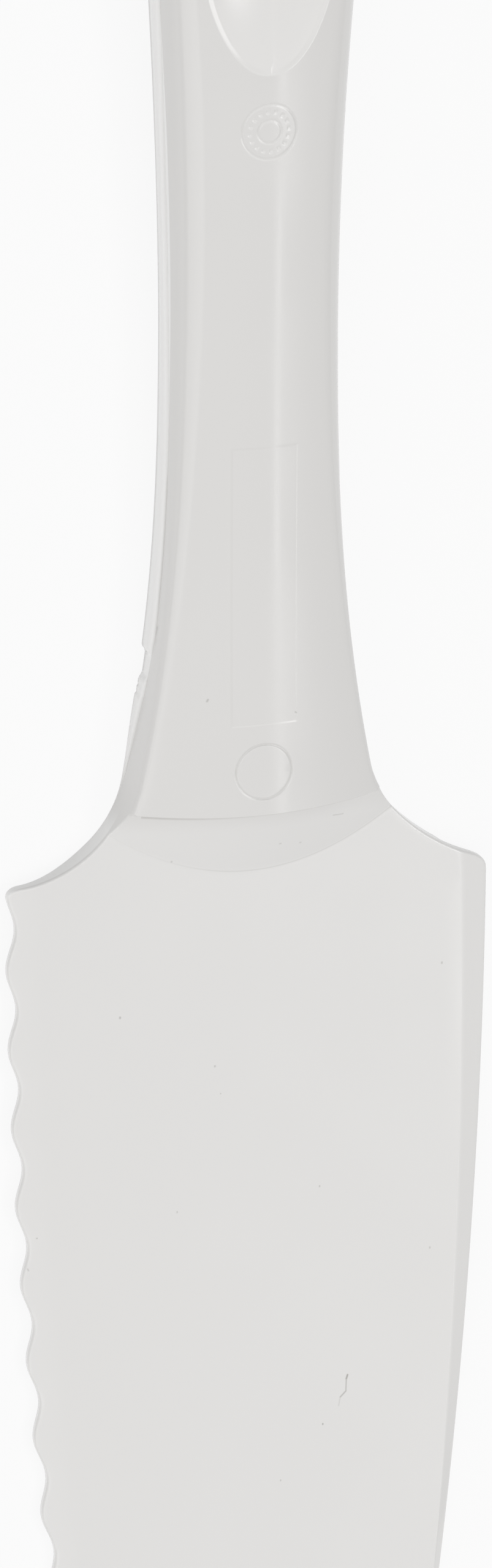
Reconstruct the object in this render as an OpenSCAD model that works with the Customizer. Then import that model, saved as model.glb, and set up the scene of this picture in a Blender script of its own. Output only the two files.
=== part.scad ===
// Cake spatula, moulded in one piece: a flat tapering blade with one scalloped
// and one bevelled long side, and a hollow handle that is open underneath.
// Millimetres. X runs across, Y from the blade's tip to the handle's end, Z up.
// The shape is drawn with the step at the neck at Y = 0 and the blade's top face
// at Z = 0, and is then laid down on its tip and on the neck's rim.

/* [Blade] */
// Length of the blade, from the step at the neck to the tip
blade_length = 132; // [118:1:150]
// Width of the blade where it is widest
blade_width = 58.9; // [52:0.1:66]
// How far the blade's middle lies to the right of the handle's
blade_offset = 0.3; // [0:0.05:1]
// Thickness of the blade
blade_thickness = 1.7; // [1.5:0.1:2.4]
// Radius of the long sides, seen from above
side_radius = 850; // [600:10:1500]
// Length of the rounded tip
tip_length = 21; // [16:1:28]

/* [Scalloped side] */
// Distance from one crest to the next
crest_pitch = 10; // [8:0.5:13]
// How far the edge is cut back between two crests
scallop_depth = 1.1; // [0.4:0.1:2]
// How far the top face drops at a crest
crest_drop = 0.6; // [0.2:0.05:0.8]
// How far the top face drops in the middle of a scallop
hollow_drop = 0.95; // [0.3:0.05:1]
// Width of the strip that the scallops hollow out
hollow_width = 4; // [2.5:0.1:6]
// Distance from the step to the first crest
first_crest = 8.8; // [8:0.1:12]

/* [Bevelled side] */
// Width of the bevel at the shoulder
bevel_width = 3.3; // [2:0.1:5]
// Width of the bevel at the tip
bevel_tip_width = 1; // [0.6:0.1:2]
// How far the top face drops over the bevel
bevel_drop = 0.8; // [0.3:0.05:1]

/* [Shoulders] */
// Distance from the step to the left shoulder's outer end
left_shoulder = 8.5; // [6:0.1:12]
// Distance from the step to the right shoulder's outer end
right_shoulder = 10.1; // [6:0.1:13]
// Radius of the left corner
left_corner = 1.5; // [0.8:0.1:3]
// Radius of the right corner
right_corner = 2.3; // [1:0.1:4]
// Fall of the left shoulder at its outer end, for each millimetre across
left_fall = 0.1; // [0:0.05:0.5]
// Fall of the right shoulder at its outer end, for each millimetre across
right_fall = 0.4; // [0:0.05:0.6]

/* [Neck] */
// Width of the handle where the shoulders begin
neck_width = 28.2; // [24:0.2:32]
// Height of the handle's face above the blade's face
neck_rise = 6.3; // [5:0.1:8]
// Height of the step where the handle's face ends
step_height = 1.1; // [0.5:0.1:2]
// How far the step bows towards the blade
step_bow = 0.4; // [0:0.1:3]
// Distance from the step to the ends of the slope's foot
slope_side = 2.9; // [2:0.1:4]
// Distance from the step line to the middle of the slope's foot
slope_middle = 9.1; // [7:0.1:12]
// Width across the shoulders up to which the rim keeps its full height
rim_full_width = 38; // [34:0.5:42]

/* [Handle] */
// Length of the handle, from the step to its end
handle_length = 131; // [120:1:150]
// Width of the handle at its waist
waist_width = 19.7; // [16:0.1:22]
// Distance from the step to the waist
waist_at = 57; // [45:1:70]
// Width of the handle where it is widest, near its end
grip_width = 25.1; // [21:0.2:28]
// Distance from the handle's end to that widest place
grip_from_end = 13; // [11:1:17]
// Depth of the handle at the neck, from its face to its rim
handle_depth = 9.5; // [9:0.1:13]
// How much higher the rim is at the handle's end than at the neck
rim_rise = 3.2; // [0:0.1:5]
// Fall of the arched face at the waist, from its middle to its sides
arch_drop = 2.1; // [1:0.1:3]
// Radius in which the handle bends upwards
bend_radius = 1100; // [800:20:2500]
// Distance from the step to the start of that bend
bend_at = 20; // [10:1:40]
// Radius of the face's edges at the neck
neck_edge = 0.6; // [0.4:0.1:1.5]
// Radius of the face's edges at the grip, where they are softest
grip_edge = 3.2; // [2:0.1:4]
// Distance from the handle's end to that softest stretch
softest_from_end = 49; // [36:1:60]
// Radius of the face's edges at the handle's end
end_edge = 2.2; // [1:0.1:3]
// Thickness of the handle's walls
wall = 1.6; // [1.4:0.1:2.4]

/* [Rim bead] */
// How far the bead along the rim stands out
bead = 0.5; // [0.2:0.05:1]
// Height of the bead
bead_height = 2.8; // [1.5:0.1:3.2]
// How far the side walls lean out between the face and the bead
draft = 0.1; // [0:0.02:0.4]
// Distance from the step to the middle of the gap in the left bead, where the gate was trimmed off
gate_at = 17.1; // [14:0.1:22]
// Length of that gap
gate_gap = 2.7; // [1:0.1:5]

/* [Hanging end] */
// Distance from the handle's end to the far end of the dish
dish_from_end = 6.5; // [5:0.5:9]
// Length of the dish
dish_length = 36; // [30:0.5:38]
// Width of the dish
dish_width = 16.6; // [13:0.2:18]
// Depth of the dish
dish_depth = 2; // [1.5:0.1:3]
// Radius of the hanging hole
hole_radius = 3.5; // [2.5:0.1:4.5]
// Distance from the dish's far end to the middle of the hole
hole_from_end = 10; // [8:0.5:14]

/* [Hidden] */
shade = [0.93, 0.93, 0.92];

// Small sizes and shares that shape the curves
neck_at = 3.6; // where the handle's sides turn into the shoulders
flare = 2.6; // how quickly the sides spread from the waist to the neck
swell = 1.7; // how quickly they spread from the waist to the grip
left_pull = 6.2; // how far the left shoulder keeps the direction of the neck
left_reach = 7.6; // and how far it keeps that of its outer end
right_pull = 3.9; // the same for the right shoulder
right_reach = 8.7;
round_pull = 0.56; // pull of a curve's handles that makes a near-round quarter
pole_half = 0.35; // half the flat that closes the outline at either end
plain_end = 2; // least stretch of plain edge between the last crest and the tip
bevel_taper = 0.71; // share of the blade's length over which the bevel narrows
edge_radius = 0.25; // rounding of the edges of the blade and the neck's slope
edge_share = 0.2; // most of the width that the hollowed strip or the bevel may take
step_run = 0.4; // how far the step's face leans
step_end = 0.6; // where the step's ends meet the sides
blade_bow_fade = 40; // stretch of blade over which the cross-lines straighten
line_gap = 0.5; // least distance between two cross-lines at the left corner
thin_end = 2; // stretch at either corner where the rim is as thin as the blade
bead_run = 12; // stretch from the step in which the bead comes out to its full width
bead_start = 0.6; // height of the bead where it begins at the step
bead_share = 0.75; // most of a wall's height that the bead may take
bead_flat = 0.8; // share of the bead's height that stands straight
gate_ramp = 0.4; // length of the bead's slanted ends at the gap
rim_ease = 0.2; // how much the wall thins towards its rim
chamfer = 0.9; // inner corner of the handle's hollow
clear = 2; // how far a cutter passes the surface that it cuts

// Places that follow from the sizes
grip_at = handle_length - grip_from_end;
softest_at = handle_length - softest_from_end;
dish_middle = handle_length - dish_from_end - dish_length / 2;
hole_at = handle_length - dish_from_end - hole_from_end;
gate_start = gate_at - gate_gap / 2 - gate_ramp;
gate_end = gate_at + gate_gap / 2 + gate_ramp;

// Cross-lines of the loft in each stretch
tip_steps = 12;
scallop_steps = 8;
plain_steps = 3;
corner_steps = 4;
shoulder_steps = 9;
slope_steps = 5;
neck_steps = 3;
gate_steps = 3;
handle_steps = 28;
end_steps = 12;
edge_steps = 3;
// Points around the dish, and rings of them from its middle to its outline
dish_turns = 48;
dish_rings = 5;

// Points of the loft's closed section: each outer wall, the face, each inner wall and the ceiling
wall_count = edge_steps + 4;
face_count = 9;
hollow_count = 3;
roof_count = 5;

// General curves
function mix(a, b, t) = a + (b - a) * t;
function clamp(t) = min(1, max(0, t));
function ease(t) = let (c = clamp(t)) c * c * (3 - 2 * c);
function unit(v) = v / norm(v);
function cubic(c, t) = let (s = 1 - t)
    s * s * s * c[0] + 3 * s * s * t * c[1] + 3 * s * t * t * c[2] + t * t * t * c[3];
// Where a curve that runs downwards in Y crosses a given Y
function crossing(c, y, lo = 0, hi = 1, n = 20) = let (m = (lo + hi) / 2)
    n == 0 ? m : cubic(c, m)[1] > y ? crossing(c, y, m, hi, n - 1) : crossing(c, y, lo, m, n - 1);

// The blade's long sides: half its width at y
side_top = -(left_shoulder + left_corner);
side_foot = -(blade_length - tip_length);
function half_blade(y) = blade_width / 2 - pow(min(0, y - side_top), 2) / (2 * side_radius);
function side_slope(y) = -min(0, y - side_top) / side_radius;

// Scallops: 0 at a crest, 1 in the middle of a scallop
scallops = floor((-side_foot - first_crest - plain_end) / crest_pitch);
last_crest = first_crest + scallops * crest_pitch;
function wave(y) = y < -last_crest || y > -first_crest ? 0
    : (1 - cos(360 * (y + first_crest) / crest_pitch)) / 2;

// The handle's sides: half its width at y
half_waist = waist_width / 2;
half_neck = neck_width / 2;
half_grip = grip_width / 2;
function half_handle(y) = y < waist_at
    ? mix(half_waist, half_neck, pow((waist_at - y) / (waist_at - neck_at), flare))
    : mix(half_waist, half_grip, pow((y - waist_at) / (grip_at - waist_at), swell));
neck_slope = (half_neck - half_waist) * flare / (waist_at - neck_at);
grip_slope = (half_grip - half_waist) * swell / (grip_at - waist_at);

// The shoulder of one side, from the neck to its corner, and the corner
function shoulder(drop, corner, fall, pull, reach) = let (
    start = [half_neck, neck_at],
    end = [half_blade(-drop) - corner, -drop])
    [start, start + pull * unit([neck_slope, -1]), end - reach * unit([1, -fall]), end];
left_curve = shoulder(left_shoulder, left_corner, left_fall, left_pull, left_reach);
right_curve = shoulder(right_shoulder, right_corner, right_fall, right_pull, right_reach);
function corner_curve(drop, corner, fall) = let (
    start = [half_blade(-drop) - corner, -drop],
    end = [half_blade(-drop - corner), -drop - corner])
    [start, start + corner * round_pull * unit([1, -fall]), end + [0, corner * round_pull], end];
left_corner_curve = corner_curve(left_shoulder, left_corner, left_fall);
right_corner_curve = corner_curve(right_shoulder, right_corner, right_fall);

// The two ends of the outline
tip_curve = let (start = [pole_half, -blade_length], end = [half_blade(side_foot), side_foot])
    [start, [end[0] * round_pull, -blade_length],
     end - tip_length * round_pull * [-side_slope(side_foot), 1], end];
end_curve = let (start = [half_grip, grip_at], end = [pole_half, handle_length],
    reach = (handle_length - grip_at) * round_pull)
    [start, start + reach * [grip_slope, 1], [half_grip * round_pull, handle_length], end];

// Height of the handle's face along its middle, and the radius of its edges
function face(y) = neck_rise + pow(max(0, y - bend_at), 2) / (2 * bend_radius);
function edge_at(y) = y < softest_at ? mix(neck_edge, grip_edge, ease(y / softest_at))
    : mix(grip_edge, end_edge, ease((y - softest_at) / (grip_at - softest_at)));

// A cross-line of the loft: left and right point of the outline, how far its
// middle bows towards the tip, the heights of its middle and of its sides, and
// whether it lies on the handle (0) or on the blade (1)
function line(left, right, bow, middle, side, on_blade) = [left, right, bow, middle, side, on_blade];
function cut_back(p) = [p[0] - scallop_depth * wave(p[1]), p[1]];
function blade_line(left, right, bow) = line(cut_back(left), right, bow, 0, 0, 1);
// Fall of the arched face at its sides: the arch keeps its form as the handle widens
function arch(half, widest) = arch_drop * half * half / (half_waist * widest);
function handle_line(left, right, bow) = let (y = (left[1] + right[1]) / 2, half = left[0],
    fall = arch(half, y > grip_at ? half_grip : half)) line(left, right, bow, face(y), face(y) - fall, 0);

slope_bow = slope_middle - slope_side;
function blade_bow(y) = slope_bow * (1 - ease((-y - slope_side) / blade_bow_fade));

tip_lines = [for (i = [0 : tip_steps - 1])
    let (p = cubic(tip_curve, i / tip_steps)) blade_line(p, p, 0)];

plain_y = [for (i = [0 : plain_steps - 1]) mix(side_foot, -last_crest, i / plain_steps)];
scallop_y = [for (i = [0 : scallops * scallop_steps - 1])
    -last_crest + crest_pitch * i / scallop_steps];
side_y = [for (y = concat(plain_y, scallop_y)) if (y < side_top - line_gap) y];
right_top = -(right_shoulder + right_corner);
function right_y(y) = mix(side_foot, right_top, (y - side_foot) / (side_top - side_foot));
side_lines = [for (y = side_y)
    blade_line([half_blade(y), y], [half_blade(right_y(y)), right_y(y)], blade_bow(y))];

corner_lines = [for (i = [0 : corner_steps - 1]) let (t = 1 - i / corner_steps,
    l = cubic(left_corner_curve, t), r = cubic(right_corner_curve, t))
    blade_line(l, r, blade_bow(l[1]))];

left_foot_t = crossing(left_curve, -slope_side);
right_foot_t = crossing(right_curve, -slope_side);
shoulder_lines = [for (i = [0 : shoulder_steps - 1]) let (t = i / shoulder_steps,
    l = cubic(left_curve, mix(1, left_foot_t, t)), r = cubic(right_curve, mix(1, right_foot_t, t)))
    line(l, r, blade_bow(l[1]), 0, 0, 1 - t)];

// The slope from its foot up to the step, and the step's own face
slope_top = neck_rise - step_height;
slope_lines = [for (i = [0 : slope_steps]) let (
    t = i / slope_steps, y = mix(-slope_side, step_end - step_run, t),
    l = cubic(left_curve, crossing(left_curve, y)), r = cubic(right_curve, crossing(right_curve, y)))
    line(l, r, mix(slope_bow, step_bow, t), slope_top * t, (slope_top - arch(half_neck, half_neck)) * t, 0)];

neck_lines = [for (i = [0 : neck_steps - 1]) let (y = mix(step_end, neck_at, i / neck_steps),
    l = cubic(left_curve, crossing(left_curve, y)), r = cubic(right_curve, crossing(right_curve, y)))
    handle_line(l, r, step_bow)];
handle_y = concat(
    [for (i = [0 : gate_steps - 1]) mix(neck_at, gate_start, i / gate_steps)],
    [gate_start, gate_start + gate_ramp, gate_end - gate_ramp],
    [for (i = [0 : handle_steps]) mix(gate_end, grip_at, i / handle_steps)]);
handle_lines = [for (y = handle_y) let (p = [half_handle(y), y])
    handle_line(p, p, step_bow * (1 - ease((y - neck_at) / waist_at)))];
end_lines = [for (i = [1 : end_steps]) let (p = cubic(end_curve, i / end_steps))
    handle_line(p, p, 0)];

lines = concat(tip_lines, side_lines, corner_lines, shoulder_lines, slope_lines, neck_lines,
    handle_lines, end_lines);
last = len(lines) - 1;

// Height of the rim, or of the blade's underside, at a point of the outline
neck_rim = neck_rise - handle_depth;
function handle_rim(y) = neck_rim + rim_rise * (1 - pow((handle_length - y) / (handle_length - neck_at), 2));
function shoulder_rim(x) = mix(neck_rim, -blade_thickness,
    ease((x - rim_full_width / 2) / (blade_width / 2 - thin_end - rim_full_width / 2)));
function rim(p) = p[1] >= neck_at ? handle_rim(p[1])
    : p[1] < -right_shoulder || p[1] < -left_shoulder ? -blade_thickness
    : shoulder_rim(p[0]);

// Inward direction of the outline of one side, at a cross-line
function inward(k, side) = k == 0 ? [0, 1] : k == last ? [0, -1]
    : let (a = lines[k - 1][side], b = lines[k + 1][side], d = unit(b - a)) [-d[1], d[0]];

// How far the blade's top face lies below its plane, near the long sides
function bevel_at(y) = mix(bevel_width, bevel_tip_width,
    clamp((-y - right_shoulder) / (bevel_taper * blade_length)));
function left_drop(x, y) = let (s = clamp(1 - (half_blade(y) - x) / hollow_width))
    mix(crest_drop, hollow_drop, wave(y)) * s * (2 - s);
function right_drop(x, y) = bevel_drop * clamp(1 - (half_blade(y) - x) / bevel_at(y));
function top_of_blade(p) = p[0] < 0 ? -left_drop(-p[0], p[1]) : -right_drop(p[0], p[1]);

// How far and how high the bead stands out along one side
function gap(y) = clamp((gate_gap / 2 + gate_ramp - abs(y - gate_at)) / gate_ramp);
function bead_out(side, y) = bead * ease(y / bead_run) * (side == 0 ? 1 - gap(y) : 1);
function bead_up(y) = mix(bead_start, bead_height, ease(y / (2 * bead_run)));

// One side's outer points, from the rim up over the rounded edge to where the face begins
function wall_points(k, side) = let (
    r = lines[k], p = r[side], hand = side == 0 ? -1 : 1, n = inward(k, side),
    at = [hand * p[0], p[1]], into = [hand * n[0], n[1]],
    edge = p[1] < step_end ? edge_radius : edge_at(p[1]),
    low = rim(p), foot = top_face(k, at) - edge,
    ledge = low + min(bead_up(p[1]), bead_share * (foot - low)),
    lean = draft * ease((p[1] + slope_side) / (2 * neck_at)),
    out = at - (lean + bead_out(side, p[1])) * into)
    concat(
        [[out, low], [out, mix(low, ledge, bead_flat)], [at - lean * into, ledge]],
        [for (i = [0 : edge_steps]) let (a = 90 * i / edge_steps, q = at + edge * (1 - cos(a)) * into)
            [q, top_face(k, q) - edge * (1 - sin(a))]]);

// One side's inner points, from the rim up to the hollow's ceiling
function hollow_points(k, side) = let (
    r = lines[k], p = r[side], hand = side == 0 ? -1 : 1, n = inward(k, side),
    at = [hand * p[0], p[1]], into = [hand * n[0], n[1]],
    low = rim(p), roof = ceiling(k, at + (wall + chamfer) * into))
    [[at + (wall - rim_ease) * into, low],
     [at + wall * into, max(low, roof - chamfer)],
     [at + (wall + chamfer) * into, roof]];

// Depth of the dish below the face at a point: a bowl with an oval outline
function dish_drop(p) = dish_depth * max(0, 1 - pow(2 * p[0] / dish_width, 2)
    - pow(2 * (p[1] - dish_middle) / dish_length, 2));

// Height of the top face and of the underside at a point of a cross-line
function crown(k, p) = let (r = lines[k], half = max(r[0][0], 1))
    (r[3] - r[4]) * pow(min(1, abs(p[0]) / half), 2);
function middle(k, y) = y > neck_at ? face(y) : lines[k][3];
function top_face(k, p) = (lines[k][5] > 0 ? top_of_blade(p) : 0) + middle(k, p[1]) - crown(k, p);
function ceiling(k, p) = let (r = lines[k], thick = mix(wall, blade_thickness, ease(r[5])))
    r[5] == 1 ? -blade_thickness : middle(k, p[1]) - crown(k, p) - thick - dish_drop(p);

// Shares of the way across at which the top face has its points: evenly spaced on the handle,
// and on the blade at the edges and middles of the hollowed strip and of the bevel
function shares(k) = let (r = lines[k], width = r[0][0] + r[1][0], inner = face_count - 3,
    left = min(edge_share, hollow_width / width),
    right = 1 - min(edge_share, bevel_at(r[1][1]) / width),
    blade = concat(left / 2, [for (i = [0 : inner]) mix(left, right, i / inner)], (1 + right) / 2))
    [for (i = [0 : face_count - 1]) mix((i + 1) / (face_count + 1), blade[i], ease(r[5]))];
function across(k, a, b, t) = mix(a, b, t) - [0, lines[k][2] * 4 * t * (1 - t)];

// How far the blade, and less so the shoulders, are shifted to the right
function sideways(y) = blade_offset * ease((neck_at - y) / (neck_at + right_shoulder));

function reversed(list) = [for (i = [len(list) - 1 : -1 : 0]) list[i]];
function section(k) = let (
    left = wall_points(k, 0), right = wall_points(k, 1),
    left_in = hollow_points(k, 0), right_in = hollow_points(k, 1),
    a = left[wall_count - 1][0], b = right[wall_count - 1][0],
    c = left_in[hollow_count - 1][0], d = right_in[hollow_count - 1][0],
    face_points = [for (t = shares(k)) let (p = across(k, a, b, t)) [p, top_face(k, p)]],
    roof_points = [for (i = [1 : roof_count])
        let (p = across(k, d, c, i / (roof_count + 1))) [p, ceiling(k, p)]])
    [for (q = concat(left, face_points, reversed(right), right_in, roof_points, reversed(left_in)))
        [q[0][0] + sideways(q[0][1]), q[0][1], q[1]]];

// Closes one end of a run of the loft's points: so many on either side, the rest in a row between them
function close_run(first, sides, between) = let (
    end = first + 2 * sides + between - 1, top = first + sides - 2) concat(
    [for (i = [0 : sides - 3]) [first + i, first + i + 1, end - i - 1, end - i]],
    [for (i = [1 : between + 1]) [top, top + i, top + i + 1]],
    [[top, top + between + 2, top + between + 3]]);
outer_count = 2 * wall_count + face_count;
ring = outer_count + 2 * hollow_count + roof_count;
function end_faces(start) = concat(
    close_run(start, wall_count, face_count),
    close_run(start + outer_count, hollow_count, roof_count),
    [[start + outer_count - 1, start + outer_count, start + ring - 1, start]]);

body_points = [for (k = [0 : last]) each section(k)];
body_faces = concat(
    [for (k = [0 : last - 1]) for (i = [0 : ring - 1]) let (j = (i + 1) % ring, a = k * ring, b = a + ring)
        each [[a + i, b + i, b + j], [a + i, b + j, a + j]]],
    end_faces(0), [for (f = end_faces(last * ring)) reversed(f)]);

// How it lies: on the underside of its tip and on the rim at the neck
lying_tilt = max([for (p = body_points) if (p[1] > -blade_length / 2)
    atan2(-blade_thickness - p[2], p[1] + blade_length)]);
laid_points = [for (p = body_points) [p[0], p[1] * cos(lying_tilt) - p[2] * sin(lying_tilt),
    p[1] * sin(lying_tilt) + p[2] * cos(lying_tilt)]];
function low(axis) = min([for (p = laid_points) p[axis]]);
function high(axis) = max([for (p = laid_points) p[axis]]);
base_middle = [(low(0) + high(0)) / 2, (low(1) + high(1)) / 2, low(2)];

module moulding() {
    polyhedron(points = body_points, faces = body_faces, convexity = 6);
}

// The dish near the handle's end: a bowl whose outline lies on the arched face. Its points are its
// middle, then ring after ring out to the outline, then the outline raised, and a point above them all.
function arch_fall(p) = arch_drop * p[0] * p[0] / (half_waist * half_handle(min(p[1], grip_at)));
function dish_point(out, turn, up) = let (
    p = [out * dish_width / 2 * cos(turn), dish_middle + out * dish_length / 2 * sin(turn)])
    [p[0], p[1], face(p[1]) - arch_fall(p) - dish_drop(p) + up];
dish_points = concat([dish_point(0, 0, 0)],
    [for (i = [1 : dish_rings]) for (j = [1 : dish_turns])
        dish_point(i / dish_rings, 360 * j / dish_turns, 0)],
    [for (j = [1 : dish_turns]) dish_point(1, 360 * j / dish_turns, clear)],
    [dish_point(0, 0, dish_depth + 2 * clear)]);
dish_top = len(dish_points) - 1;
dish_faces = [for (j = [1 : dish_turns]) let (n = j % dish_turns + 1, top = dish_rings * dish_turns)
    each concat([[0, j, n], [top + n, top + j, dish_top]],
        [for (i = [0 : dish_rings - 1]) let (a = i * dish_turns, b = a + dish_turns)
            each [[a + j, b + j, b + n], [a + j, b + n, a + n]]])];
module dish() {
    polyhedron(points = dish_points, faces = dish_faces, convexity = 4);
}

// The hanging hole, square to the dish's floor
module hanging_hole() {
    slope = atan((hole_at - bend_at) / bend_radius
        + 8 * dish_depth * (hole_at - dish_middle) / pow(dish_length, 2));
    translate([0, hole_at, face(hole_at) - dish_drop([0, hole_at])]) rotate([slope, 0, 0])
        translate([0, 0, -2 * wall - clear])
            cylinder(r = hole_radius, h = dish_depth + 2 * wall + 2 * clear, $fn = 64);
}

module cake_spatula() {
    color(shade) translate(-base_middle) rotate([lying_tilt, 0, 0]) difference() {
        moulding();
        dish();
        hanging_hole();
    }
}

cake_spatula();
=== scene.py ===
"""A white plastic cake spatula, moulded in one piece, lying on a pale table."""

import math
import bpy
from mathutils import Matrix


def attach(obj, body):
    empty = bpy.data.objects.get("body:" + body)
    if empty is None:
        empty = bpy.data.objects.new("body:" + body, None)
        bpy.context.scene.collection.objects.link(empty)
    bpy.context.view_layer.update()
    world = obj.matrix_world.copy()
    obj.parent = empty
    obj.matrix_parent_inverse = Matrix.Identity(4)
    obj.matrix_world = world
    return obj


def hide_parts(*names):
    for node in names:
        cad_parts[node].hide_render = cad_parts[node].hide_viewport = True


bl_info = {
    "name": "Cake spatula",
    "version": (1, 0, 0),
    "blender": (4, 5, 0),
    "location": "View3D > Sidebar > Spatula",
    "description": "Builds a one-piece cake spatula with its finish, its table and its lights",
    "category": "Object",
}

from typing import NamedTuple

import bmesh
import bpy
from bpy.props import FloatProperty, FloatVectorProperty, PointerProperty
from mathutils import Matrix, Vector

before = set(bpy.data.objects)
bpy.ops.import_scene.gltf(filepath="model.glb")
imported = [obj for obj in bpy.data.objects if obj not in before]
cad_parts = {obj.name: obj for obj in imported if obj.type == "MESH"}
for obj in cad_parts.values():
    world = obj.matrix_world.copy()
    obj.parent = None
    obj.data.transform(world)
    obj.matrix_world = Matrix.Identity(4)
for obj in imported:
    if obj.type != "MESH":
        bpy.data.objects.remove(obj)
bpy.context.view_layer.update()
NODE = "cake_spatula"
MM = 0.001

# How the drawing lies in the frame: turned about X, then set down at this place (millimetres)
LIE = math.radians(0.6811)
SET_DOWN = Vector((-0.321, 0.199, 3.269))

# Fineness of the moulding: cross-lines in each stretch, and points around a cross-line
TIP_LINES = 22
PLAIN_LINES = 6
CREST_LINES = 18
CORNER_LINES = 8
SHOULDER_LINES = 26
SLOPE_LINES = 16
NECK_LINES = 6
SCAR_LINES = 60
HANDLE_LINES = 130
END_LINES = 26
EDGE_POINTS = 7
WALL_POINTS = 12 + EDGE_POINTS
FACE_POINTS = 41
ROOF_POINTS = 17
# How far beyond the gate the finer cross-lines run
SCAR_BEYOND = 5
# Cuts across each cell of the mesh near a mark or the dish's lip, and how near that is
FINE_CUTS = 5
FINE_REACH = 0.5
# Sides of the hanging hole, and length of the drill that cuts it
HOLE_SIDES = 96
DRILL_LENGTH = 9
# Edges flatter than this are shaded smooth
SMOOTH_ANGLE = math.radians(32)

# Fixed measures of the drawing, in millimetres where they are lengths

# How the handle's sides curve, towards the neck and towards the grip
NECK_CURVE = 2.6
GRIP_CURVE = 1.7
# Pull of each shoulder's curve at the neck and at the corner
LEFT_PULLS = (6.2, 7.6)
RIGHT_PULLS = (3.9, 8.7)
# Pull of a round corner's curve, as a share of its radius
ROUND_PULL = 0.56
# Half width of the first and the last cross-line
POLE = 0.35
# Stretch of blade over which its bowed cross-lines straighten
BOW_RUN = 40.0
# Room between the last crest and the tip, and between the sides and the left corner
TIP_ROOM = 2
CORNER_ROOM = 0.5
# How far inside the blade's side the rim has fallen to the blade's underside
RIM_END = 2
# The rim's bead: where beyond the step it stands out fully and is fully high, and its height at the step
BEAD_OUT_AT = 12.0
BEAD_HIGH_AT = 24.0
LOW_BEAD = 0.6
# The groove above the bead: its share of the bead, where beyond the gate it starts, and how long it grows
GROOVE = 0.35
GROOVE_FROM = 2
GROOVE_RUN = 8
# The trimmed gate: its ramps, how far the stub is cut back, and the height and pace of the stub's waves
SHORT_RAMP = 0.4
LONG_RAMP = 0.8
STUB_CUT = 0.16
STUB_WAVES = ((0.05, 7.3), (0.03, 17.9))
# Share of the inner walls' inset that is left on the blade, where the hollow has run out
BLADE_INSET = 0.3
# The round mark: its inner ring, its ring of dots and its depth as shares, and the dots' number and length
INNER_RING = 0.42
DOT_RING = 0.72
ROUND_DEPTH = 0.6
DOTS = 16
DOT_LENGTH = 0.4

# Lamps: name, place and sizes (metres), and whether the lamp is aimed at the spatula or faces down
LAMPS = (
    ("ceiling", (0.0, -0.1, 1.3), (1.2, 0.4), False),
    ("side", (-0.9, -0.41, 0.69), (1.05, 1.05), True),
    ("low side", (-1.1, 0.2, 0.4), (0.7, 0.7), True),
    ("strip", (0.47, -0.54, 1.02), (0.06, 0.42), False),
    ("window", (0.62, -0.02, 1.02), (0.32, 0.6), False),
)
# The way from the spatula back to the camera, and the spot that the camera looks at, on the drawing
CAMERA_BACK = Vector((-0.28295, 0.33880, 0.89731)).normalized()
CAMERA_SPOT = (-0.27, 1.63, 0.0)
SENSOR = 36.0
# Share of plain white in the table that the camera and reflections see
TABLE_WHITE = 0.9


def length(name, text, default, low=0.0, high=300.0):
    """A size in millimetres that the sidebar shows."""
    return FloatProperty(name=name, description=text, default=default, min=low, max=high, precision=2)


def number(name, text, default, high=1.0, unit="NONE"):
    """A number from 0 up that the sidebar shows."""
    return FloatProperty(name=name, description=text, default=default, min=0.0, max=high, unit=unit)


def colour(name, text, default):
    """A colour that the sidebar shows."""
    return FloatVectorProperty(
        name=name, description=text, default=default, subtype="COLOR", min=0.0, max=1.0,
    )


class BladeSizes(bpy.types.PropertyGroup):
    """Sizes of the blade, in millimetres."""

    reach: length("Length", "From the step at the neck to the tip", 132.0)
    width: length("Width", "Where the blade is widest", 58.9)
    offset: length("Offset", "How far the blade's middle lies to the right of the handle's", 0.3)
    thickness: length("Thickness", "Thickness of the blade", 1.7)
    side_radius: length("Side radius", "Radius of the long sides, seen from above", 850.0, 300.0, 3000.0)
    tip: length("Tip", "Length of the rounded tip", 21.0)
    pitch: length("Crest pitch", "From one crest to the next", 10.0)
    first_crest: length("First crest", "From the step to the first crest", 8.8)
    scallop: length("Scallop depth", "How far the edge is cut back between two crests", 1.1)
    crest_drop: length("Crest drop", "Drop of the top face at a crest", 0.6)
    hollow_drop: length("Hollow drop", "Drop of the top face in the middle of a scallop", 0.95)
    hollow: length("Hollow width", "Width of the strip that the scallops hollow out", 4.0)
    bevel: length("Bevel width", "Width of the bevel at the shoulder", 3.3)
    bevel_tip: length("Bevel width at tip", "Width of the bevel at the tip", 1.0)
    bevel_drop: length("Bevel drop", "Drop of the top face over the bevel", 0.8)
    taper: length("Bevel taper", "Stretch of blade over which the bevel narrows", 93.7)
    edge: length("Edge radius", "Rounding of the blade's edges", 0.25)


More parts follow.
